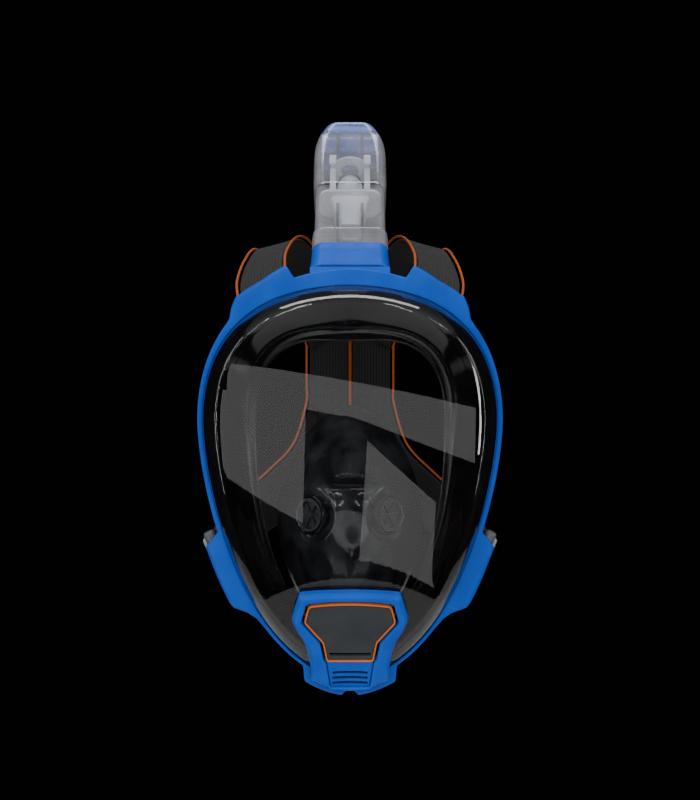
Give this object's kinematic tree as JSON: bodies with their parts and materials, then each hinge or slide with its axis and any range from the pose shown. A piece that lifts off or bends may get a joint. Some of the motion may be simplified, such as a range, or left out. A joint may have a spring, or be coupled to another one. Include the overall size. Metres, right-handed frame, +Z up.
{
  "type": "full-face snorkel mask",
  "caption": "Full-face snorkel mask with a blue rim, domed clear visor, dry-top snorkel, chin drain valve and an X-shaped head strap.",
  "frame": {"origin": "middle of the face opening, in the plane of the face seal at the brow", "axes": "+X towards the wearer's left, -Y the way the wearer looks, +Z up towards the snorkel"},
  "size_m": [0.185, 0.2534, 0.3562],
  "materials": {
    "blue_shell": "satin moulded plastic",
    "inner_ring": "black moulded plastic",
    "visor_clear": "clear polycarbonate over a dark inside",
    "pale_latch": "pale gloss plastic",
    "skirt_silicone": "gloss black silicone",
    "gasket_rubber": "matt rubber",
    "valve_plastic": "dark moulded plastic",
    "valve_silicone": "translucent silicone",
    "cover_grey": "dark grey satin plastic",
    "orange_trim": "orange trim",
    "snorkel_clear": "clear plastic",
    "cap_tint": "clear plastic with a blue tint",
    "float_plastic": "pale float",
    "clip_black": "black moulded plastic",
    "button_gloss": "gloss grey plastic",
    "steel_wire": "stainless wire",
    "strap_textile": "ribbed elastic textile"
  },
  "bodies": {
    "root": {"frame_rim": "blue_shell", "clamp_ring": "inner_ring", "visor": "visor_clear", "visor_latch": "pale_latch", "skirt": "skirt_silicone", "nose_pocket": "skirt_silicone", "inhale_valve_seat_left": "valve_plastic", "inhale_valve_seat_right": "valve_plastic", "chin_bezel": "blue_shell", "louvre_insert": "blue_shell", "drain_valve_seat": "valve_plastic", "snorkel_base": "blue_shell", "socket_gasket": "gasket_rubber", "clip_body_left": "clip_black", "clip_body_right": "clip_black", "clip_spring_left": "steel_wire", "clip_spring_right": "steel_wire", "clip_bar_left": "steel_wire", "clip_bar_right": "steel_wire", "brow_bar_left": "steel_wire", "brow_bar_right": "steel_wire", "strap_upper_left": "strap_textile", "strap_upper_right": "strap_textile", "strap_back_panel": "strap_textile", "strap_lower_left": "strap_textile", "strap_lower_right": "strap_textile", "piping_outer_left": "orange_trim", "piping_outer_right": "orange_trim", "piping_side_left": "orange_trim", "piping_side_right": "orange_trim", "piping_inner": "orange_trim", "strap_seam": "orange_trim"},
    "snorkel": {"snorkel_band": "blue_shell", "snorkel_collar": "snorkel_clear", "snorkel_tube": "snorkel_clear", "snorkel_head": "snorkel_clear", "snorkel_cap": "cap_tint", "float_cage": "snorkel_clear"},
    "float": {"float": "float_plastic", "float_seal": "valve_silicone"},
    "latch": {"latch_button": "cover_grey"},
    "inhale_flap_left": {"inhale_valve_flap_left": "valve_silicone"},
    "inhale_flap_right": {"inhale_valve_flap_right": "valve_silicone"},
    "drain_flap": {"drain_valve_flap": "valve_silicone"},
    "cover": {"chin_cover": "cover_grey", "cover_pins": "cover_grey", "chin_cover_trim": "orange_trim"},
    "clip_button_left": {"clip_button_left": "button_gloss"},
    "clip_button_right": {"clip_button_right": "button_gloss"}
  },
  "joints": [
    {"name": "snorkel_pull", "type": "slide", "parent": "root", "child": "snorkel", "axis": [0, 0.5736, 0.8192], "range_m": [0, 0.012]},
    {"name": "float_rise", "type": "slide", "parent": "snorkel", "child": "float", "axis": [0, 0.5736, 0.8192], "range_m": [0, 0.007]},
    {"name": "latch_press", "type": "slide", "parent": "snorkel", "child": "latch", "axis": [0, -0.8192, 0.5736], "range_m": [0, 0.0014], "stiffness_N_per_m": 900},
    {"name": "inhale_open_left", "type": "slide", "parent": "root", "child": "inhale_flap_left", "axis": [-0.6691, 0.7431, 0], "range_m": [0, 0.0012], "stiffness_N_per_m": 20},
    {"name": "inhale_open_right", "type": "slide", "parent": "root", "child": "inhale_flap_right", "axis": [0.6691, 0.7431, 0], "range_m": [0, 0.0012], "stiffness_N_per_m": 20},
    {"name": "drain_open", "type": "slide", "parent": "root", "child": "drain_flap", "axis": [0, -0.9397, -0.342], "range_m": [0, 0.0018], "stiffness_N_per_m": 40},
    {"name": "cover_pull", "type": "slide", "parent": "root", "child": "cover", "axis": [0, -0.9397, -0.342], "range_m": [0, 0.008]},
    {"name": "clip_press_left", "type": "slide", "parent": "root", "child": "clip_button_left", "axis": [-0.9135, 0, 0.4067], "range_m": [0, 0.0015], "stiffness_N_per_m": 1200},
    {"name": "clip_press_right", "type": "slide", "parent": "root", "child": "clip_button_right", "axis": [0.9135, 0, 0.4067], "range_m": [0, 0.0015], "stiffness_N_per_m": 1200}
  ]
}
